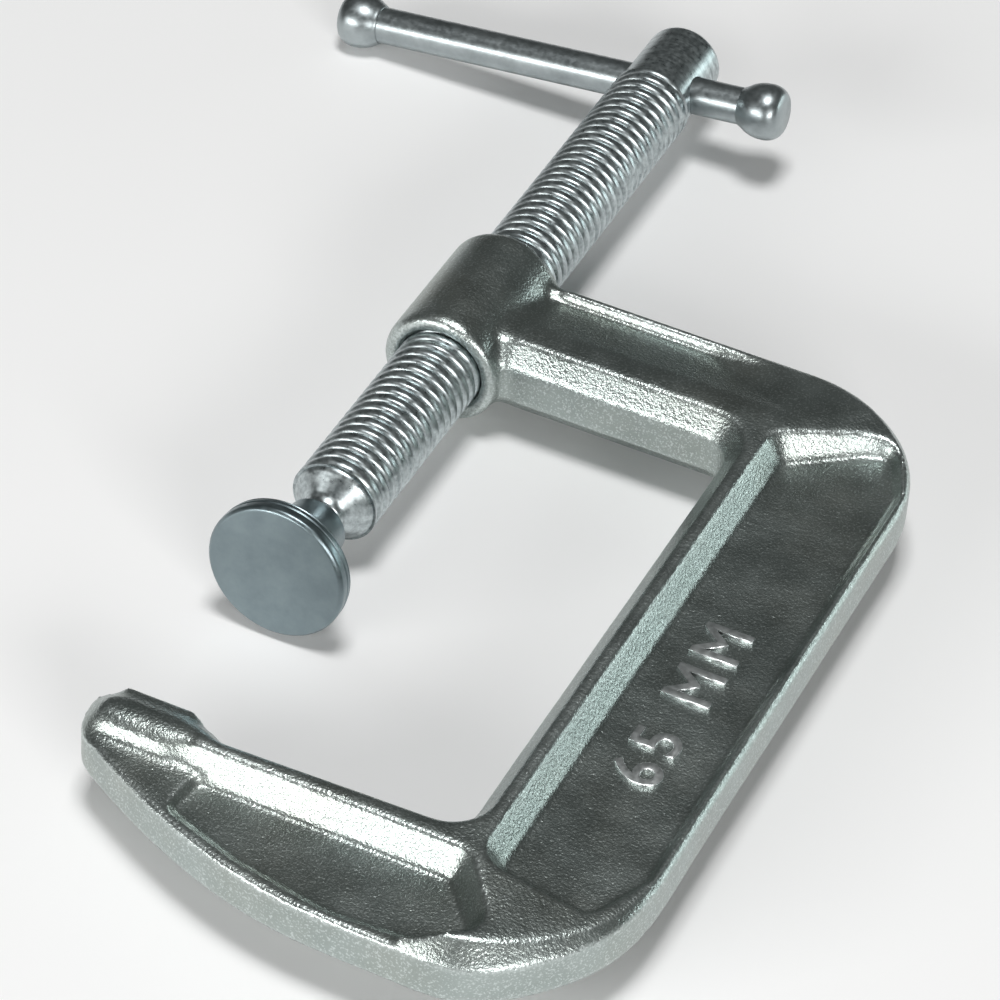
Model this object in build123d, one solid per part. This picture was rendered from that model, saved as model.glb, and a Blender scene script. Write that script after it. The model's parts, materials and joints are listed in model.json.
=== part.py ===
from build123d import *
import os
from math import radians, tan

# C clamp lying on its side, in millimetres.
# Origin: centre of the anvil face, on the screw's axis. +X runs from the screw to the spine,
# +Y up the screw's axis to the handle, +Z is square to the flat of the C.

# Driving sizes
throat_depth = 34.9          # screw axis to the spine's inner edge
jaw_gap = 66.0               # anvil face to the upper arm's inner edge
spine_width = 20.2
arm_width = 15.3
jaw_width = 18.0             # anvil face down to the lower arm's outer edge
rib_half = 4.9               # half the thickness at the inner rib
band_half = 2.2              # half the height of the trimmed band around the outline
forge_draft = 38.0           # slope of the forging between band and rib, degrees
screw_diameter = 10.0
thread_fit = 0.03            # radial gap between the screw's crests and the boss
boss_wall = 2.0              # boss around the screw
boss_below = 1.8             # boss past the arm's inner edge
boss_above = 1.2             # boss past the arm's outer edge
bar_diameter = 4.5
bar_fit = 0.06               # radial gap of the sliding bar in the screw's head
handle_length = 58.8
knob_wall = 1.15             # knob around the bar
knob_length = 5.4
pad_diameter = 16.0
ball_diameter = 5.6
ball_fit = 0.06              # radial gap of the ball in the pad's socket

# How far the clamp stands open, and how the pad and the handle lie
opening = 25.4               # anvil face to the pad's face
pad_tilt = 5.3               # degrees, the pad's face looking up
bar_slide = -13.5            # middle of the handle from the screw's axis
bar_roll = 6.5               # degrees, the handle's long end dropped
screw_spare = 13.2           # head above the boss with the clamp shut

# Frame outline
inner_corner = 3.5           # radius between arm and spine, top
jaw_corner = 3.0             # radius between jaw and spine, bottom
top_corner = 17.0            # outer radius at the top of the spine
anvil_left = -4.2
anvil_right = 5.4
jaw_step = 1.3               # jaw edge below the anvil face
jaw_rise = 0.8               # jaw edge climbs this much towards the spine
step_end = 9.4
horn_reach = 2.0             # front of the jaw past the anvil
horn_y = -3.6
chin_in = 0.6                # under the horn, back from the anvil's edge
chin_y = -7.6
belly_in = 5.9               # lowest point of the jaw, in from the spine's inner edge
belly_front = 14.4           # where the jaw's underside starts to climb
belly_climb = 2.2
heel_y = 14.0                # outer edge of the spine turns into the jaw below this
anvil_half = 4.2             # half the thickness of the anvil block
anvil_depth = 6.0

# Recesses in both sides of the frame
web_half = 1.7               # half the thickness of the web left between the recesses
wall_draft = 33.0            # slope of the recess walls, degrees
rim = 1.7                    # thin rim left outside a recess
rib_width = 5.4              # inner rib at the web's level
spine_rim_half = 2.9         # half the thickness at the spine's outer rim
arm_rim_half = 3.6           # the same at the upper arm's outer rim
arm_floor_half = 2.6         # half the thickness at the bottom of the upper arm's recess
arm_fade = 10.0              # how far from the spine's inner edge that recess starts to fade out
arm_fade_end = 6.3           # where it ends, past the spine's inner edge
shelf_half = 2.6             # the same beside the anvil
shelf_top = 4.6              # rib below the anvil before the shelf falls away

# Screw
nose_length = 3.0            # coned nose, from the full thread down to the neck
nose_shoulder = 0.5          # end of the nose around the neck
head_wall_low = 1.39         # smooth head, below and above its cross hole
head_wall_high = 5.09
head_step = 0.3              # head's radius under the thread's
head_edge = 0.8
neck_gap = 0.9               # bare neck between pad and screw
knob_round = 1.4             # knob's flat end in from its widest
knob_cap = 1.2               # solid end of a knob, past the bar
mouth_chamfer = 0.5          # at both mouths of the boss

# Pad
disc_thickness = 2.6
disc_edge = 0.5
hub_lip = 0.615              # wall around the mouth, at the top of the hub
hub_wall = 3.14              # wall around the ball, at the root of the hub
socket_floor = 3.94          # pad's face to the bottom of the socket
socket_lip = 0.3             # how far the lip closes in over the ball
neck_step = 1.2              # neck's radius under the ball's
mouth_height = 1.71
mouth_flare = 12.0           # degrees, room for the neck as the pad tilts

# Worked out
spine_out = throat_depth + spine_width
arm_out = jaw_gap + arm_width
jaw_floor = -jaw_step + jaw_rise
screw_radius = screw_diameter / 2
boss_radius = screw_radius + boss_wall
boss_low = jaw_gap - boss_below
boss_high = arm_out + boss_above
hole_radius = bar_diameter / 2 + bar_fit
knob_radius = bar_diameter / 2 + knob_wall
head_radius = screw_radius - head_step
head_low = hole_radius + head_wall_low
head_high = hole_radius + head_wall_high
ball_radius = ball_diameter / 2
socket_radius = ball_radius + ball_fit
socket_mouth = ball_radius - socket_lip
neck_radius = ball_radius - neck_step
nose_radius = neck_radius + nose_shoulder
mouth_depth = (socket_radius ** 2 - socket_mouth ** 2) ** 0.5
ball_from_face = socket_floor + socket_radius
pad_height = ball_from_face + mouth_depth + mouth_height
hub_top_radius = socket_mouth + mouth_height * tan(radians(mouth_flare)) + hub_lip
hub_root_radius = socket_radius + hub_wall
ball_y = opening + ball_from_face
stud_top = opening + pad_height + neck_gap
thread_low = stud_top + nose_length
bar_y = opening + boss_high + screw_spare + head_low
draft_run = (rib_half - band_half) * tan(radians(forge_draft))
wall_slope = tan(radians(wall_draft))
shelf_low = shelf_top + (rib_half - shelf_half) * wall_slope
jaw_floor_top = -shelf_top - (rib_half - web_half) * wall_slope
big = 200.0


def round_bar(radius, low, high):
    """Round bar on the screw's axis from low to high."""
    base = Plane(origin=(0, low, 0), x_dir=(1, 0, 0), z_dir=(0, 1, 0))
    return extrude(base * Circle(radius), high - low)


def cone(low_radius, high_radius, low, high):
    """Cone on the screw's axis."""
    base = Plane(origin=(0, low, 0), x_dir=(1, 0, 0), z_dir=(0, 1, 0))
    return base * Cone(low_radius, high_radius, high - low, align=(Align.CENTER, Align.CENTER, Align.MIN))


def outline(inset=0.0):
    """Outline of the frame without its boss, drawn inset from the trimmed edge."""
    r_in = inner_corner + inset
    r_jaw = jaw_corner + inset
    r_top = top_corner - inset
    x_in = throat_depth + inset
    x_out = spine_out - inset
    y_arm = jaw_gap + inset
    y_top = arm_out - inset
    low = -jaw_width + inset
    anvil = -inset
    step = -jaw_step - inset
    root = jaw_floor - inset
    horn = Vector(anvil_left - horn_reach + inset, horn_y)
    chin = Vector(anvil_left + chin_in + 0.6 * inset, chin_y + 0.8 * inset)
    belly = (throat_depth - belly_in, low)
    path = [
        Line((anvil_left + inset, anvil), (anvil_right - 0.4 * inset, anvil)),
        Spline((anvil_right - 0.4 * inset, anvil), (step_end, step), tangents=[(1, 0), (1, 0.03)]),
        Line((step_end, step), (x_in - r_jaw, root)),
        RadiusArc((x_in - r_jaw, root), (x_in, root + r_jaw), -r_jaw),
        Line((x_in, root + r_jaw), (x_in, y_arm - r_in)),
        RadiusArc((x_in, y_arm - r_in), (x_in - r_in, y_arm), -r_in),
        Line((x_in - r_in, y_arm), (0, y_arm)),
        Line((0, y_arm), (0, y_top)),
        Line((0, y_top), (x_out - r_top, y_top)),
        RadiusArc((x_out - r_top, y_top), (x_out, y_top - r_top), r_top),
        Line((x_out, y_top - r_top), (x_out, heel_y)),
        Spline((x_out, heel_y), (x_out - 3.3, low + 8.6), (x_out - 9.0, low + 2.4), belly,
               tangents=[(0, -1), (-1, 0)]),
        Spline(belly, (belly_front, low + belly_climb), chin, tangents=[(-1, 0), (-0.87, 0.5)]),
        Spline(chin, horn, (anvil_left + inset, anvil), tangents=[(-0.87, 0.5), (1, 0)]),
    ]
    return make_face(path)


def prism_x(points, low, high):
    """Bar along X with a section drawn as (y, z) points."""
    section = make_face(Polyline([(0, y, z) for y, z in points], close=True))
    return Pos(low, 0, 0) * extrude(section, high - low, dir=(1, 0, 0))


def prism_y(points, low, high):
    """Bar along Y with a section drawn as (x, z) points."""
    section = make_face(Polyline([(x, 0, z) for x, z in points], close=True))
    return Pos(0, low, 0) * extrude(section, high - low, dir=(0, 1, 0))


def recess(points, radius):
    """Tapered recess, sunk from the rib's level to the web; points are its floor's corners."""
    floor = fillet(make_face(Polyline(points, close=True)).vertices(), radius)
    depth = rib_half - web_half + 0.2
    return Pos(0, 0, web_half) * extrude(floor, depth, taper=-wall_draft)


def make_frame():
    """Forged frame: drafted body, thin web between ribs, boss for the screw."""
    upper = loft([Pos(0, 0, band_half) * outline(), Pos(0, 0, rib_half) * outline(draft_run)])
    half = extrude(outline(), band_half) + upper

    # The rib's height falls away to the outer rims of the spine and the upper arm.
    rib_edge = throat_depth + rib_width - 1.2
    half -= prism_y([(rib_edge, rib_half), (spine_out, spine_rim_half), (big, spine_rim_half),
                     (big, big), (rib_edge, big)], -big, big)
    arm_edge = jaw_gap + rib_width - 1.2
    half -= prism_x([(arm_edge, rib_half), (arm_out, arm_rim_half), (big, arm_rim_half),
                     (big, big), (arm_edge, big)], 0, big)
    half -= prism_x([(-shelf_top, rib_half), (-shelf_low, shelf_half), (-big, shelf_half),
                     (-big, big), (-shelf_top, big)], -big, throat_depth + 1)

    # Spine and lower arm recesses
    inner = throat_depth + rib_width
    outer = spine_out - rim
    half -= recess([(inner, -3.2), (outer - 3, -4.6), (outer, 2), (outer, jaw_gap + 1),
                    (outer - 3, jaw_gap + 7.4), (inner + 7, jaw_gap + 6), (inner, jaw_gap + 0.6)], 1.4)
    half -= recess([(8.4, jaw_floor_top), (throat_depth + 1.6, jaw_floor_top), (throat_depth + 6.4, -12.4),
                    (throat_depth + 1.6, rim - jaw_width + 0.6),
                    (throat_depth - belly_in - 1.0, rim - jaw_width),
                    (belly_front + 2.6, rim - jaw_width + 1.8), (8.0, -11.6)], 1.1)
    # The upper arm's recess has one long gentle slope up to the rib, and fades out near the spine.
    arm_rib = jaw_gap + 4.6
    arm_rim = arm_out - 1.5
    trough = prism_x([(arm_rib, rib_half + 0.1), (arm_out - 2.3, arm_floor_half), (arm_rim, rib_half),
                      (arm_rim, big), (arm_rib, big)], 0, throat_depth + arm_fade_end)
    fade = prism_y([(-1, arm_floor_half - 0.1), (throat_depth - arm_fade, arm_floor_half - 0.1),
                    (throat_depth + arm_fade_end, rib_half), (throat_depth + arm_fade_end, big),
                    (-1, big)], -big, big)
    half -= trough & fade

    boss = fillet(round_bar(boss_radius, boss_low, boss_high).edges(), 1.2)
    anvil_width = anvil_right - anvil_left
    anvil = Box(anvil_width, anvil_depth, 2 * anvil_half, align=(Align.MIN, Align.MAX, Align.CENTER))
    anvil = chamfer(anvil.edges().filter_by(Axis.Y), 1.2)
    body = half + mirror(half, about=Plane.XY) + boss + Pos(anvil_left, 0, 0) * anvil
    bore = screw_radius + thread_fit
    body -= round_bar(bore, boss_low - 1, boss_high + 1)
    body -= cone(bore + mouth_chamfer, bore, boss_low, boss_low + mouth_chamfer)
    return body - cone(bore, bore + mouth_chamfer, boss_high - mouth_chamfer, boss_high)


def bar_place():
    """Middle of the sliding handle, its own axis along local Z."""
    return Pos(0, bar_y, 0) * Rot(0, 90 - bar_roll, 0)


def on_bar(radius, low, high):
    """Round piece on the handle's axis, measured from the screw's axis."""
    piece = Cylinder(radius, high - low, align=(Align.CENTER, Align.CENTER, Align.MIN))
    return bar_place() * Pos(0, 0, low) * piece


def make_screw():
    """Screw with a coned nose below and a smooth cross-drilled head above."""
    head = round_bar(head_radius, bar_y - head_low, bar_y + head_high)
    head = chamfer(head.edges().sort_by(Axis.Y)[-1], head_edge)
    body = round_bar(screw_radius, thread_low, bar_y - head_low)
    body += cone(nose_radius, screw_radius, stud_top, thread_low)
    hole = on_bar(hole_radius, -2 * screw_diameter, 2 * screw_diameter)
    return body + head - hole


def make_stud():
    """Neck and ball at the screw's nose."""
    ball = Pos(0, ball_y, 0) * Sphere(ball_radius)
    return ball + round_bar(neck_radius, ball_y, stud_top)


def make_pad():
    """Swivel pad: turned disc and tapered hub closed over the ball."""
    disc_top = opening + disc_thickness
    disc = chamfer(round_bar(pad_diameter / 2, opening, disc_top).edges(), disc_edge)
    body = disc + cone(hub_root_radius, hub_top_radius, disc_top - 0.1, opening + pad_height)
    body -= Pos(0, ball_y, 0) * Sphere(socket_radius)
    mouth_y = ball_y + mouth_depth
    top = opening + pad_height + 0.1
    mouth_top = socket_mouth + (top - mouth_y) * tan(radians(mouth_flare))
    body -= cone(socket_mouth, mouth_top, mouth_y - 0.02, top)
    return Pos(0, ball_y, 0) * Rot(-pad_tilt, 0, 0) * Pos(0, -ball_y, 0) * body


def knob_on(end, way):
    """Bulb-shaped knob with its flat end at end, reaching way along the handle's axis."""
    r = knob_radius
    flat = r - knob_round
    profile = [
        Line((0, 0), (flat, 0)),
        ThreePointArc((flat, 0), (r - 0.45, 0.75), (r, 2.2)),
        ThreePointArc((r, 2.2), (r - 0.25, 3.9), (bar_diameter / 2 + 0.25, knob_length)),
        Line((bar_diameter / 2 + 0.25, knob_length), (0, knob_length)),
        Line((0, knob_length), (0, 0)),
    ]
    knob = revolve(Plane.XZ * make_face(profile), Axis.Z)
    if way < 0:
        knob = Rot(180, 0, 0) * knob
    return bar_place() * Pos(0, 0, end) * knob


def make_handle():
    """Sliding bar and its two pressed-on end knobs."""
    low = bar_slide - handle_length / 2
    high = bar_slide + handle_length / 2
    bar = on_bar(bar_diameter / 2, low + knob_cap, high - knob_cap)
    left = knob_on(low, 1) - bar
    right = knob_on(high, -1) - bar
    return bar, left, right


bar, knob_left, knob_right = make_handle()
nodes = {
    "frame": make_frame(),
    "screw": make_screw(),
    "ball_stud": make_stud(),
    "swivel_pad": make_pad(),
    "handle_bar": bar,
    "handle_knob_left": knob_left,
    "handle_knob_right": knob_right,
}
os.makedirs("parts", exist_ok=True)
for name, solid in nodes.items():
    export_step(solid, f"parts/{name}.step")
    box = solid.bounding_box()
    print(name, len(solid.solids()), round(solid.volume, 1), box.min, box.max)
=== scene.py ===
import bpy, bmesh, json, math
from mathutils import Matrix, Vector, noise


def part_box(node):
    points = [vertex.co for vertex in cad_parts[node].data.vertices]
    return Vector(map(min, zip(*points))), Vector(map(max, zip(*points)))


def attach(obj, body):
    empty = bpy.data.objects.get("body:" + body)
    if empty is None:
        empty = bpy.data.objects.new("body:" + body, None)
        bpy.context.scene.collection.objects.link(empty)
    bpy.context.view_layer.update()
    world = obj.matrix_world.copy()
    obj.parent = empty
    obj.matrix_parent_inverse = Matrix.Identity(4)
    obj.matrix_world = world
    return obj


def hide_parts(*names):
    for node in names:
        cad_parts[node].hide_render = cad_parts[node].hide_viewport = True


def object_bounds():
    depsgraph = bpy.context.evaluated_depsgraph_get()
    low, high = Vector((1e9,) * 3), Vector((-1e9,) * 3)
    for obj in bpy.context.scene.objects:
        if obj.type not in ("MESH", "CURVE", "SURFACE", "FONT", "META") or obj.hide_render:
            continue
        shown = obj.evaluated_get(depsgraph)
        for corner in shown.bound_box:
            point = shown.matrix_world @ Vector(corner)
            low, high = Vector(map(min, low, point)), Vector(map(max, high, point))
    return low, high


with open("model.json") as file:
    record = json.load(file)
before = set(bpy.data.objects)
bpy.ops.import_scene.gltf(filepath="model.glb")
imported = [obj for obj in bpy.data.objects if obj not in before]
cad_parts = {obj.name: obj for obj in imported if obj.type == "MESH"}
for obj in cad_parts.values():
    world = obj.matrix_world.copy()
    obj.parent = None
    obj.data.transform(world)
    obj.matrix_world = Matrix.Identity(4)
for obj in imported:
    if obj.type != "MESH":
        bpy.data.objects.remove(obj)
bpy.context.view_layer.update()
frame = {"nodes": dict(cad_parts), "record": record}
mm = 0.001


def newMesh(name, bm, smooth=True):
    mesh = bpy.data.meshes.new(name)
    bm.to_mesh(mesh)
    bm.free()
    for poly in mesh.polygons:
        poly.use_smooth = smooth
    obj = bpy.data.objects.new(name, mesh)
    bpy.context.collection.objects.link(obj)
    return obj


def plainMesh(obj):
    # bake the live modifiers into the mesh
    graph = bpy.context.evaluated_depsgraph_get()
    mesh = bpy.data.meshes.new_from_object(obj.evaluated_get(graph))
    obj.modifiers.clear()
    obj.data = mesh
    return obj


def cadCopy(nodes, name):
    # merged copy of CAD nodes, to be worked on
    bm = bmesh.new()
    for node in nodes:
        bm.from_mesh(frame["nodes"][node].data)
    bmesh.ops.remove_doubles(bm, verts=bm.verts, dist=2e-6)
    return newMesh(name, bm)


def lathe(name, profile, place, segments=96):
    # profile is (distance along the axis, radius) in mm, pole to pole
    # place maps local Z to the axis
    bm = bmesh.new()
    rings = []
    for along, radius in profile:
        if radius < 1e-6:
            rings.append([bm.verts.new((0, 0, along * mm))])
            continue
        ring = []
        for i in range(segments):
            a = 2 * math.pi * i / segments
            x, y = radius * math.cos(a), radius * math.sin(a)
            ring.append(bm.verts.new((x * mm, y * mm, along * mm)))
        rings.append(ring)
    for low, high in zip(rings, rings[1:]):
        for i in range(segments):
            j = (i + 1) % segments
            if len(low) == 1:
                bm.faces.new((low[0], high[j], high[i]))
            elif len(high) == 1:
                bm.faces.new((low[i], low[j], high[0]))
            else:
                bm.faces.new((low[i], low[j], high[j], high[i]))
    bmesh.ops.recalc_face_normals(bm, faces=bm.faces)
    bmesh.ops.transform(bm, matrix=place, verts=bm.verts)
    bmesh.ops.recalc_face_normals(bm, faces=bm.faces)
    return newMesh(name, bm)


def rounded(corners, radius, steps=6):
    # soften the corners of a lathe profile
    out = [corners[0]]
    for before, here, after in zip(corners, corners[1:], corners[2:]):
        p, q, r = Vector(before), Vector(here), Vector(after)
        cut = min(radius, (p - q).length * 0.45, (r - q).length * 0.45)
        a = q + (p - q).normalized() * cut
        b = q + (r - q).normalized() * cut
        for i in range(steps + 1):
            t = i / steps
            out.append(tuple(a * (1 - t) ** 2 + q * 2 * t * (1 - t) + b * t ** 2))
    out.append(corners[-1])
    return out


def axisPlace(origin, direction):
    turn = Vector((0, 0, 1)).rotation_difference(Vector(direction).normalized())
    return Matrix.Translation(Vector(origin)) @ turn.to_matrix().to_4x4()


class Nodes:
    def __init__(self, name):
        self.material = bpy.data.materials.new(name)
        self.material.use_nodes = True
        self.tree = self.material.node_tree
        self.shader = self.tree.nodes["Principled BSDF"]
        self.coords = self.add("ShaderNodeTexCoord")

    def add(self, kind, **inputs):
        node = self.tree.nodes.new(kind)
        for key, value in inputs.items():
            node.inputs[key.replace("_", " ")].default_value = value
        return node

    def link(self, a, b):
        self.tree.links.new(a, b)

    def noise(self, scale, detail=4.0, rough=0.6, stretch=None):
        node = self.add("ShaderNodeTexNoise", Scale=scale, Detail=detail, Roughness=rough)
        place = self.add("ShaderNodeMapping")
        place.inputs["Scale"].default_value = stretch or (1, 1, 1)
        self.link(self.coords.outputs["Object"], place.inputs["Vector"])
        self.link(place.outputs["Vector"], node.inputs["Vector"])
        return node.outputs["Fac"]

    def ramp(self, fac, stops):
        node = self.add("ShaderNodeValToRGB")
        elements = node.color_ramp.elements
        for i, (at, colour) in enumerate(stops):
            element = elements[i] if i < 2 else elements.new(at)
            element.position = at
            element.color = (*colour, 1) if len(colour) == 3 else colour
        self.link(fac, node.inputs["Fac"])
        return node.outputs["Color"]

    def span(self, fac, low, high, fromLow=0.0, fromHigh=1.0):
        node = self.add("ShaderNodeMapRange")
        node.inputs["From Min"].default_value = fromLow
        node.inputs["From Max"].default_value = fromHigh
        node.inputs["To Min"].default_value = low
        node.inputs["To Max"].default_value = high
        self.link(fac, node.inputs["Value"])
        return node.outputs["Result"]

    def maths(self, how, a, b):
        node = self.add("ShaderNodeMath")
        node.operation = how
        for socket, value in zip(node.inputs, (a, b)):
            if isinstance(value, (int, float)):
                socket.default_value = value
            else:
                self.link(value, socket)
        return node.outputs["Value"]

    def mix(self, fac, a, b):
        node = self.add("ShaderNodeMix")
        node.data_type = "RGBA"
        for index, value in ((0, fac), (6, a), (7, b)):
            if isinstance(value, (int, float)):
                node.inputs[index].default_value = value
            elif isinstance(value, tuple):
                node.inputs[index].default_value = (*value, 1)
            else:
                self.link(value, node.inputs[index])
        return node.outputs[2]

    def bump(self, height, distance, strength=1.0, after=None):
        node = self.add("ShaderNodeBump", Strength=strength, Distance=distance)
        self.link(height, node.inputs["Height"])
        if after:
            self.link(after, node.inputs["Normal"])
        return node.outputs["Normal"]


def forgedZinc():
    # the bright colour in this table paints the edge highlight and the glints, along with rubbed plating
    look = {"dark": (0.33, 0.375, 0.36), "light": (0.41, 0.46, 0.445), "stain": (0.37, 0.36, 0.30),
            "highlightAndWear": (0.72, 0.78, 0.77), "grain": 2700.0, "pits": 4200.0, "roughLow": 0.28, "roughHigh": 0.38}
    n = Nodes("forgedZinc")
    grain = n.noise(look["grain"], 2.0, 0.6)
    pits = n.noise(look["pits"], 1.0, 0.5)
    cloud = n.noise(170.0, 5.0, 0.6)
    patch = n.noise(70.0, 4.0, 0.55)
    tone = n.ramp(cloud, [(0.30, look["dark"]), (0.72, look["light"])])
    stain = n.ramp(patch, [(0.45, (0, 0, 0)), (0.75, (1, 1, 1))])
    stained = n.mix(n.span(stain, 0.0, 0.30), tone, look["stain"])
    # painted highlight along the convex edges, together with plating rubbed bright there
    edge = n.add("ShaderNodeAttribute")
    edge.attribute_name = "edgeSheenAndWear"
    edgeSheenAndWear = n.maths("MULTIPLY", edge.outputs["Fac"], n.span(grain, 0.15, 0.85, 0.40, 0.60))
    # painted glints: single crystals of the plating catch the light
    spark = n.ramp(pits, [(0.55, (0, 0, 0)), (0.66, (1, 1, 1))])
    speckled = n.mix(n.span(spark, 0.0, 0.55), stained, look["highlightAndWear"])
    n.link(n.mix(edgeSheenAndWear, speckled, look["highlightAndWear"]), n.shader.inputs["Base Color"])
    n.shader.inputs["Metallic"].default_value = 1.0
    n.link(n.span(cloud, look["roughLow"], look["roughHigh"], 0.3, 0.7), n.shader.inputs["Roughness"])
    coarse = n.bump(grain, 0.00007, 1.0)
    n.link(n.bump(pits, 0.00003, 0.8, coarse), n.shader.inputs["Normal"])
    return n.material


def rolledZinc():
    look = {"dark": (0.30, 0.34, 0.35), "light": (0.60, 0.66, 0.67), "roughLow": 0.26, "roughHigh": 0.40}
    n = Nodes("rolledZinc")
    streak = n.noise(420.0, 4.0, 0.6, (1.0, 5.0, 1.0))
    patch = n.noise(1500.0, 3.0, 0.6)
    tone = n.ramp(n.maths("MULTIPLY", n.maths("ADD", streak, patch), 0.5),
                  [(0.38, look["dark"]), (0.60, look["light"])])
    n.link(tone, n.shader.inputs["Base Color"])
    n.shader.inputs["Metallic"].default_value = 1.0
    n.link(n.span(patch, look["roughLow"], look["roughHigh"], 0.3, 0.7), n.shader.inputs["Roughness"])
    n.link(n.bump(patch, 0.00002, 0.4), n.shader.inputs["Normal"])
    return n.material


def turnedZinc(name, dark, light):
    look = {"roughLow": 0.28, "roughHigh": 0.42}
    n = Nodes(name)
    cloud = n.noise(300.0, 4.0, 0.6)
    scuff = n.noise(1500.0, 3.0, 0.6)
    n.link(n.ramp(cloud, [(0.30, dark), (0.66, light)]), n.shader.inputs["Base Color"])
    n.shader.inputs["Metallic"].default_value = 1.0
    n.link(n.span(scuff, look["roughLow"], look["roughHigh"], 0.3, 0.7), n.shader.inputs["Roughness"])
    n.link(n.bump(scuff, 0.00002, 0.3), n.shader.inputs["Normal"])
    return n.material


zinc = {"forged": forgedZinc(), "rolled": rolledZinc(),
        "turned": turnedZinc("turnedZinc", (0.30, 0.335, 0.345), (0.43, 0.475, 0.485)),
        "padFace": turnedZinc("padZinc", (0.21, 0.26, 0.28), (0.26, 0.32, 0.34)),
        "raised": turnedZinc("raisedZinc", (0.70, 0.74, 0.74), (0.90, 0.93, 0.93))}


def finished(obj, finish, body, slotName, *nodes):
    obj.data.materials.clear()
    obj.data.materials.append(zinc[finish])
    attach(obj, body)
    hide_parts(*nodes)
    return obj


forging = {"voxel": 0.36, "softening": 3, "waviness": 0.05, "bossAndArm": 16.5,
           "boreRadius": 5.03, "boreWall": 0.12, "boreFrom": 60.0,
           # these three entries shape the edge mask for the painted highlight and rubbed plating
           "sheenWearPasses": 9, "sheenWearFrom": 0.035, "sheenWearSpan": 0.09,
           "blendPasses": 19, "blendReach": 1.9, "bossRadius": 7.0, "bossInside": 5.6, "armSide": 3.0,
           "anvilBack": 7.0, "anvilLow": -7.5, "anvilTop": -0.5, "anvilMiddle": 2.2}
cast = cadCopy(["frame"], "forgedFrame")
remesh = cast.modifiers.new("even", "REMESH")
remesh.mode = "VOXEL"
remesh.voxel_size = forging["voxel"] * mm
plainMesh(cast)
bm = bmesh.new()
bm.from_mesh(cast.data)
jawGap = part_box("frame")[1][1] / mm - forging["bossAndArm"]  # inner edge of the upper arm


def soften(verts, passes):
    for _ in range(passes):
        bmesh.ops.smooth_vert(bm, verts=verts, factor=0.5, use_axis_x=True, use_axis_y=True, use_axis_z=True)


def fromAxis(v):
    return math.hypot(v.co.x, v.co.z) / mm


def nearBoss(v):
    # the ring where the boss runs into the arm
    reach = fromAxis(v)
    inRing = reach > forging["bossInside"] and abs(reach - forging["bossRadius"]) < forging["blendReach"]
    return inRing and v.co.x / mm > forging["armSide"] and v.co.y / mm > jawGap - 1.0


def nearAnvil(v):
    # the rounded cheeks and nose under the anvil's flat face
    x, y, z = v.co / mm
    return (x < forging["anvilBack"] and forging["anvilLow"] < y < forging["anvilTop"]
            and abs(z) > forging["anvilMiddle"])


soften(bm.verts, forging["softening"])
soften([v for v in bm.verts if nearBoss(v) or nearAnvil(v)], forging["blendPasses"])
for v in bm.verts:
    # hammer waviness, always inwards
    wave = noise.noise(v.co * 160) + 0.5 * noise.noise(v.co * 420)
    v.co -= v.normal * (0.5 + 0.4 * wave) * forging["waviness"] * mm
    # the bore stays round and true
    inBore = fromAxis(v) < forging["boreRadius"] + forging["boreWall"] and v.co.y / mm > forging["boreFrom"]
    if inBore and abs(v.normal.y) < 0.6:
        grow = forging["boreRadius"] / max(fromAxis(v), 1e-6)
        v.co.x *= grow
        v.co.z *= grow
# how far each point stands proud of a softer copy of the forging: high on edges; this is the mask for the
# painted edge highlight and rubbed plating
bm.normal_update()
bm.verts.ensure_lookup_table()
proud = bm.verts.layers.float.new("edgeSheenAndWear")
before = [v.co.copy() for v in bm.verts]
soften(bm.verts, forging["sheenWearPasses"])
for v, was in zip(bm.verts, before):
    height = (was - v.co).dot(v.normal) / mm
    v[proud] = min(max((height - forging["sheenWearFrom"]) / forging["sheenWearSpan"], 0.0), 1.0)
    v.co = was
newFrame = newMesh("forgedFrameBody", bm)
bpy.data.objects.remove(cast)
finished(newFrame, "forged", "frame", "forged_zinc", "frame")
print("clamp: forged frame", len(newFrame.data.polygons))


marking = {"text": "65 MM", "height": 7.6, "raise": 0.30, "bevel": 0.12, "x": 46.6, "y": 27.0,
           "floor": 1.7}


def raisedMark():
    words = bpy.data.curves.new("sizeMark", "FONT")
    words.body = marking["text"]
    words.size = marking["height"] * mm
    words.align_x = "CENTER"
    words.align_y = "CENTER"
    words.extrude = marking["raise"] * mm
    words.bevel_depth = marking["bevel"] * mm
    words.bevel_resolution = 2
    words.space_character = 1.3
    text = bpy.data.objects.new("sizeMark", words)
    bpy.context.collection.objects.link(text)
    graph = bpy.context.evaluated_depsgraph_get()
    mesh = bpy.data.meshes.new_from_object(text.evaluated_get(graph))
    bpy.data.objects.remove(text)
    bm = bmesh.new()
    bm.from_mesh(mesh)
    bmesh.ops.remove_doubles(bm, verts=bm.verts, dist=1e-6)
    turn = Matrix.Rotation(math.radians(90), 4, "Z")
    place = Matrix.Translation(Vector((marking["x"], marking["y"], marking["floor"])) * mm)
    bmesh.ops.transform(bm, matrix=place @ turn, verts=bm.verts)
    return newMesh("sizeMark", bm)


mark = raisedMark()
mark.data.materials.clear()
mark.data.materials.append(zinc["raised"])
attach(mark, "frame")


noseEnd, headEnd = (corner[1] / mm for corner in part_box("screw"))
barY = sum(corner[1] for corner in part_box("handle_bar")) / 2 / mm
joint = [j for j in frame["record"]["behaviour"]["joints"] if j["name"] == "handle_slide"][0]
barWay = Vector(joint["axis"]).normalized()
screwFit = {"radius": 5.0, "pitch": 1.5, "depth": 0.52, "sharpness": 3.2, "rowsPerTurn": 14, "around": 72,
            "noseLength": 3.0, "noseRadius": 2.1, "headLow": 3.7, "headRadius": 4.7,
            "headEdge": 0.9, "drill": 2.31, "drillReach": 20.0}
threadLow = noseEnd + screwFit["noseLength"]
threadHigh = barY - screwFit["headLow"]


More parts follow.
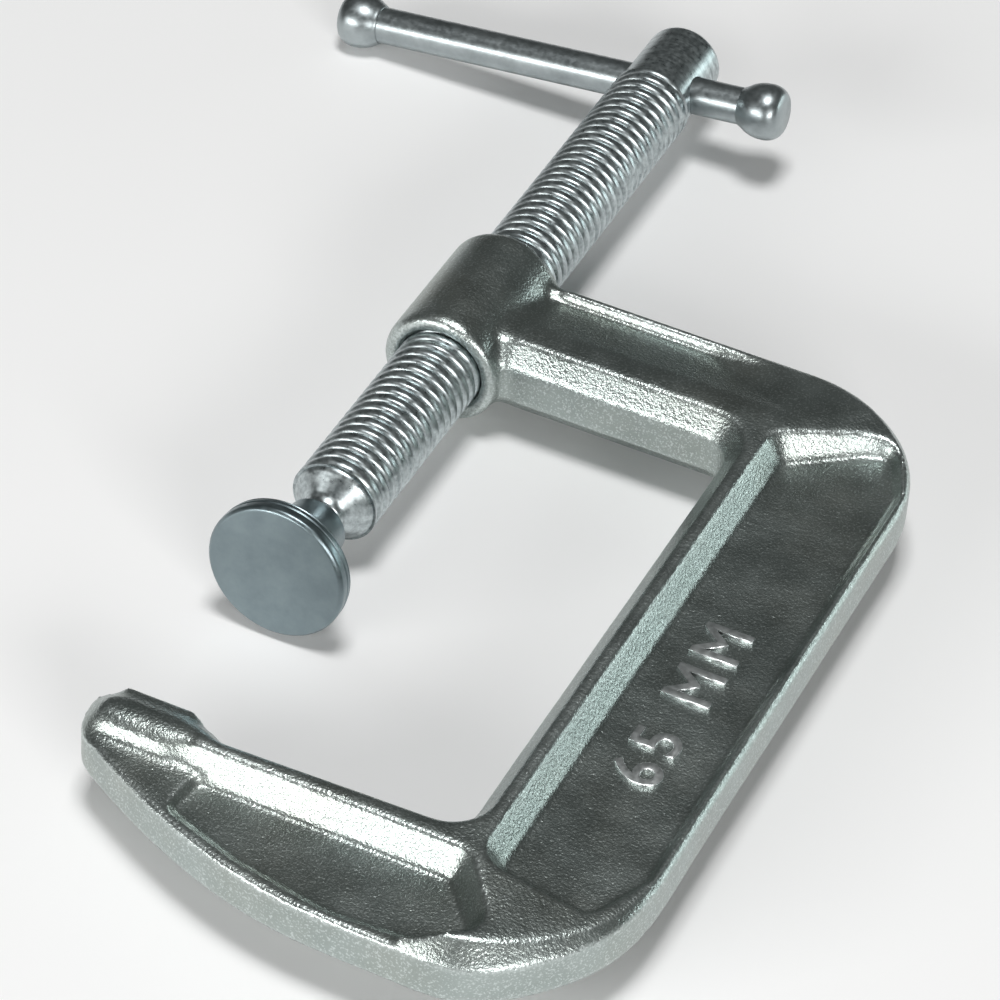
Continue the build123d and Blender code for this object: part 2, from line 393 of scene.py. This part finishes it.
def threadTree():
    tree = bpy.data.node_groups.new("rolledThread", "GeometryNodeTree")
    face = tree.interface
    face.new_socket("Geometry", in_out="OUTPUT", socket_type="NodeSocketGeometry")
    for label in ("Radius", "Depth", "Pitch", "Sharpness", "Low", "High"):
        face.new_socket(label, in_out="INPUT", socket_type="NodeSocketFloat")
    face.new_socket("Around", in_out="INPUT", socket_type="NodeSocketInt")
    face.new_socket("Rows", in_out="INPUT", socket_type="NodeSocketInt")
    face.new_socket("Finish", in_out="INPUT", socket_type="NodeSocketMaterial")

    def add(kind, **props):
        node = tree.nodes.new(kind)
        for key, value in props.items():
            setattr(node, key, value)
        return node

    def sums(how, a, b=None, c=None):
        node = add("ShaderNodeMath", operation=how)
        for socket, value in zip(node.inputs, (a, b, c)):
            if value is None:
                continue
            if isinstance(value, (int, float)):
                socket.default_value = value
            else:
                tree.links.new(value, socket)
        return node.outputs[0]

    given = add("NodeGroupInput").outputs
    result = add("NodeGroupOutput")
    grid = add("GeometryNodeMeshGrid")
    grid.inputs["Size X"].default_value = 1.0
    grid.inputs["Size Y"].default_value = 1.0
    tree.links.new(sums("ADD", given["Around"], 1), grid.inputs["Vertices X"])
    tree.links.new(given["Rows"], grid.inputs["Vertices Y"])
    spot = add("ShaderNodeSeparateXYZ")
    tree.links.new(add("GeometryNodeInputPosition").outputs[0], spot.inputs[0])
    u = sums("ADD", spot.outputs[0], 0.5)
    v = sums("ADD", spot.outputs[1], 0.5)
    # rows run along the helix, so the crest never steps
    span = sums("SUBTRACT", given["High"], given["Low"])
    length = sums("ADD", span, sums("MULTIPLY", given["Pitch"], 2.0))
    start = sums("SUBTRACT", given["Low"], sums("MULTIPLY", given["Pitch"], 1.5))
    along = sums("ADD", start, sums("MULTIPLY", v, length))
    height = sums("ADD", along, sums("MULTIPLY", u, given["Pitch"]))
    kept = sums("MINIMUM", sums("MAXIMUM", height, given["Low"]), given["High"])
    phase = sums("FRACT", sums("DIVIDE", sums("SUBTRACT", along, start), given["Pitch"]))
    # broad round crest, narrow groove
    away = sums("ABSOLUTE", sums("SUBTRACT", phase, 0.5))
    groove = sums("POWER", sums("MULTIPLY", away, 2.0), given["Sharpness"])
    # the thread runs out over one turn at both ends
    endLow = sums("DIVIDE", sums("SUBTRACT", kept, given["Low"]), given["Pitch"])
    endHigh = sums("DIVIDE", sums("SUBTRACT", given["High"], kept), given["Pitch"])
    runOut = sums("MINIMUM", sums("MINIMUM", endLow, endHigh), 1.0)
    radius = sums("SUBTRACT", given["Radius"],
                  sums("MULTIPLY", given["Depth"], sums("MULTIPLY", groove, sums("SQRT", runOut))))
    angle = sums("MULTIPLY", u, 2 * math.pi)
    x = sums("MULTIPLY", radius, sums("COSINE", angle))
    z = sums("MULTIPLY", radius, sums("SINE", angle))
    join = add("ShaderNodeCombineXYZ")
    tree.links.new(x, join.inputs[0])
    tree.links.new(kept, join.inputs[1])
    tree.links.new(sums("MULTIPLY", z, -1.0), join.inputs[2])
    move = add("GeometryNodeSetPosition")
    tree.links.new(grid.outputs["Mesh"], move.inputs["Geometry"])
    tree.links.new(join.outputs[0], move.inputs["Position"])
    weld = add("GeometryNodeMergeByDistance")
    weld.inputs["Distance"].default_value = 2e-6
    tree.links.new(move.outputs[0], weld.inputs["Geometry"])
    realise = add("GeometryNodeRealizeInstances")
    tree.links.new(weld.outputs[0], realise.inputs[0])
    paint = add("GeometryNodeSetMaterial")
    tree.links.new(realise.outputs[0], paint.inputs["Geometry"])
    tree.links.new(given["Finish"], paint.inputs["Material"])
    tree.links.new(paint.outputs[0], result.inputs[0])
    return tree


def rolledThread():
    tree = threadTree()
    holder = bpy.data.objects.new("threadForm", bpy.data.meshes.new("threadForm"))
    bpy.context.collection.objects.link(holder)
    modifier = holder.modifiers.new("thread", "NODES")
    modifier.node_group = tree
    rows = int(((threadHigh - threadLow) / screwFit["pitch"] + 2) * screwFit["rowsPerTurn"]) + 1
    values = {"Radius": screwFit["radius"] * mm, "Depth": screwFit["depth"] * mm,
              "Pitch": screwFit["pitch"] * mm, "Sharpness": screwFit["sharpness"],
              "Low": threadLow * mm, "High": threadHigh * mm,
              "Around": screwFit["around"], "Rows": rows, "Finish": zinc["rolled"]}
    for item in tree.interface.items_tree:
        if item.in_out == "INPUT":
            modifier[item.identifier] = values[item.name]
    return plainMesh(holder)


thread = rolledThread()
bm = bmesh.new()
bm.from_mesh(thread.data)
bmesh.ops.dissolve_degenerate(bm, dist=1e-6, edges=bm.edges)
# close both ends with flat caps
rims = [e for e in bm.edges if e.is_boundary]
bmesh.ops.holes_fill(bm, edges=rims)
bmesh.ops.recalc_face_normals(bm, faces=bm.faces)
threadSolid = newMesh("screwThread", bm)
bpy.data.objects.remove(thread)

up = axisPlace((0, 0, 0), (0, 1, 0))
noseProfile = [(noseEnd, 0), (noseEnd, screwFit["noseRadius"]),
               (noseEnd + 0.9, screwFit["noseRadius"] + 0.35),
               (threadLow - 0.25, screwFit["radius"] - 0.35),
               (threadLow + 0.6, screwFit["radius"] - 0.12), (threadLow + 0.6, 0)]
nose = lathe("screwNose", rounded(noseProfile, 0.5), up)


def drilledHead():
    edge, radius = screwFit["headEdge"], screwFit["headRadius"]
    hole, reach = screwFit["drill"], screwFit["drillReach"]
    shape = [(threadHigh - 0.3, 0), (threadHigh - 0.3, radius), (headEnd - edge, radius),
             (headEnd, radius - edge), (headEnd, 0)]
    head = lathe("screwHead", rounded(shape, 0.7), up)
    drill = lathe("drill", [(-reach, 0), (-reach, hole), (reach, hole), (reach, 0)],
                  axisPlace((0, barY * mm, 0), barWay))
    cut = head.modifiers.new("hole", "BOOLEAN")
    cut.object = drill
    cut.solver = "EXACT"
    plainMesh(head)
    bpy.data.objects.remove(drill)
    return head


def joined(name, parts):
    bm = bmesh.new()
    for part in parts:
        bm.from_mesh(part.data)
    obj = newMesh(name, bm)
    for part in parts:
        bpy.data.objects.remove(part)
    return obj


def sharpen(obj, angle=38):
    # smooth shading with crisp turned corners
    bpy.context.view_layer.objects.active = obj
    obj.select_set(True)
    bpy.ops.object.shade_smooth_by_angle(angle=math.radians(angle))
    obj.select_set(False)
    plainMesh(obj)
    return obj


screw = joined("rolledScrew", [threadSolid, nose, drilledHead()])
sharpen(screw)
finished(screw, "rolled", "screw", "rolled_zinc", "screw")
print("clamp: screw", len(screw.data.polygons))


stud = {"ball": 2.8, "neck": 1.6}
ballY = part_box("ball_stud")[0][1] / mm + stud["ball"]
ballProfile = []
neckAngle = math.asin(stud["neck"] / stud["ball"])
for i in range(25):
    a = math.pi * (1 - i / 24 * (1 - neckAngle / math.pi))
    ballProfile.append((ballY + stud["ball"] * math.cos(a), stud["ball"] * math.sin(a)))
ballProfile[0] = (ballY - stud["ball"], 0)
ballProfile += [(noseEnd - 0.3, stud["neck"]), (noseEnd, stud["neck"] + 0.25), (noseEnd, 0)]
ball = lathe("ballStudNeck", ballProfile, up, 64)
finished(ball, "rolled", "stud", "rolled_zinc", "ball_stud")

padSpec = {"radius": 8.0, "disc": 2.6, "height": 9.9, "ball": 6.8, "socket": 2.86, "mouth": 2.5,
           "mouthTop": 2.9, "hubTop": 3.5, "hubRoot": 6.0, "tilt": -5.3}
socketTop = math.sqrt(padSpec["socket"] ** 2 - padSpec["mouth"] ** 2)
# (height, how far inside the disc's radius): the turned rim with its two fine grooves
rim = [(0, 0.35), (0.35, 0), (1.15, 0), (1.25, 0.12), (1.4, 0.12), (1.5, 0.02), (1.85, 0.05),
       (1.95, 0.2), (2.1, 0.2), (2.2, 0.12), (padSpec["disc"], 0.5)]
padProfile = rounded([(0, 0)] + [(along, padSpec["radius"] - inside) for along, inside in rim]
                     + [(padSpec["disc"] + 0.15, padSpec["hubRoot"] + 0.1)], 0.18, 3)
for i in range(1, 13):
    # hub sweeps in with a slightly hollow flank
    t = i / 12
    padProfile.append((padSpec["disc"] + 0.15 + (padSpec["height"] - padSpec["disc"] - 0.5) * t,
                       padSpec["hubRoot"] + (padSpec["hubTop"] - padSpec["hubRoot"]) * (1 - (1 - t) ** 1.5)))
padProfile += [(padSpec["height"], padSpec["hubTop"] - 0.3), (padSpec["height"], padSpec["mouthTop"]),
               (padSpec["ball"] + socketTop, padSpec["mouth"])]
mouthAngle = math.asin(padSpec["mouth"] / padSpec["socket"])
for i in range(1, 17):
    a = mouthAngle + (math.pi - mouthAngle) * i / 16
    padProfile.append((padSpec["ball"] + padSpec["socket"] * math.cos(a),
                       max(padSpec["socket"] * math.sin(a), 0)))
padProfile[-1] = (padSpec["ball"] - padSpec["socket"], 0)
tilt = Matrix.Translation((0, ballY * mm, 0)) @ Matrix.Rotation(math.radians(padSpec["tilt"]), 4, "X")
padPlace = tilt @ Matrix.Translation((0, -padSpec["ball"] * mm, 0)) @ up
pad = lathe("swivelPadTurned", padProfile, padPlace, 128)
sharpen(pad, 30)
finished(pad, "padFace", "pad", "turned_zinc", "swivel_pad")
print("clamp: pad", len(pad.data.polygons))


handle = {"bar": 2.25, "length": 58.8, "slide": -13.5, "knob": 3.4, "knobLength": 5.4, "flat": 2.0,
          "inKnob": 1.2}
barPlace = axisPlace((0, barY * mm, 0), barWay)
endLow = handle["slide"] - handle["length"] / 2
endHigh = handle["slide"] + handle["length"] / 2
rodLow, rodHigh = endLow + handle["inKnob"], endHigh - handle["inKnob"]
rod = lathe("slidingBar", [(rodLow, 0), (rodLow, handle["bar"]), (rodHigh, handle["bar"]), (rodHigh, 0)],
            barPlace, 64)
sharpen(rod)
finished(rod, "turned", "handle", "turned_zinc", "handle_bar")


def bulb(name, end, way, node):
    r = handle["knob"]
    shape = [(0, 0), (0, handle["flat"] * 0.93)]
    for i in range(1, 9):
        a = math.radians(90 * i / 9)
        shape.append((0.1 + 2.1 * (1 - math.cos(a)), handle["flat"] + (r - handle["flat"]) * math.sin(a)))
    shape += [(2.2, r), (2.9, r - 0.03), (3.6, r - 0.18), (4.3, r - 0.44), (4.85, r - 0.78)]
    shape += [(5.15, handle["bar"] + 0.2), (5.35, handle["bar"] + 0.12)]
    shape += [(handle["knobLength"], handle["bar"] + 0.02), (handle["knobLength"], 0)]
    if way < 0:
        shape = [(handle["knobLength"] - along, radius) for along, radius in shape][::-1]
        end -= handle["knobLength"]
    piece = lathe(name, [(end + along, radius) for along, radius in shape], barPlace, 80)
    sharpen(piece, 50)
    return finished(piece, "turned", "handle", "turned_zinc", node)


bulb("knobLeft", endLow, 1, "handle_knob_left")
bulb("knobRight", endHigh, -1, "handle_knob_right")
print("clamp: handle")


studio = {"cameraAt": (0.16364, -0.29998, 0.33362), "azimuth": 23.06, "elevation": 41.40, "roll": 4.15,
          "lens": 168.9, "floorHalf": 2.0, "floorGap": 0.0001, "room": 0.09}
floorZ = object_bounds()[0][2] - studio["floorGap"]
size = studio["floorHalf"]
bm = bmesh.new()
corners = [bm.verts.new((x * size, y * size, floorZ)) for x, y in ((-1, -1), (1, -1), (1, 1), (-1, 1))]
bm.faces.new(corners)
floor = newMesh("floor", bm, False)
pale = Nodes("paleFloor")
pale.shader.inputs["Base Color"].default_value = (0.93, 0.93, 0.93, 1)
pale.shader.inputs["Roughness"].default_value = 0.7
floor.data.materials.append(pale.material)

world = bpy.data.worlds.new("softRoom")
bpy.context.scene.world = world
world.use_nodes = True
background = world.node_tree.nodes["Background"]
background.inputs["Color"].default_value = (0.93, 0.97, 0.95, 1)
background.inputs["Strength"].default_value = studio["room"]


def softLight(name, at, toward, size, power, colour=(1, 1, 1)):
    data = bpy.data.lights.new(name, "AREA")
    data.shape = "RECTANGLE"
    data.size, data.size_y = size
    data.energy = power
    data.color = colour
    lamp = bpy.data.objects.new(name, data)
    bpy.context.collection.objects.link(lamp)
    lamp.location = at
    lamp.rotation_euler = (Vector(toward) - Vector(at)).to_track_quat("-Z", "Y").to_euler()
    return lamp


middle = (0.02, 0.04, 0)
softLight("frontPanel", (-0.42, -0.92, 0.36), middle, (0.75, 0.20), 6.0, (1.0, 1.0, 0.99))
softLight("cornerPanel", (0.72, -0.64, 0.40), middle, (0.50, 0.22), 4.5, (1.0, 0.99, 0.98))
softLight("sidePanel", (0.85, 0.80, 0.10), middle, (0.7, 0.18), 1.5, (0.88, 1.0, 0.99))
softLight("highPanel", (0.05, -0.05, 1.20), middle, (0.34, 0.34), 8.5)

a, e, roll = (math.radians(studio[k]) for k in ("azimuth", "elevation", "roll"))
back = Vector((math.sin(a) * math.cos(e), -math.cos(a) * math.cos(e), math.sin(e)))
right = Vector((math.cos(a), math.sin(a), 0))
upward = back.cross(right)
turnedRight = right * math.cos(roll) + upward * math.sin(roll)
turnedUp = upward * math.cos(roll) - right * math.sin(roll)
camera = bpy.data.objects.new("camera", bpy.data.cameras.new("camera"))
bpy.context.collection.objects.link(camera)
camera.data.lens = studio["lens"]
camera.data.sensor_width = 36
turn = Matrix((turnedRight, turnedUp, back)).transposed().to_4x4()
camera.matrix_world = Matrix.Translation(studio["cameraAt"]) @ turn
bpy.context.scene.camera = camera
bpy.context.scene.view_settings.view_transform = "Standard"
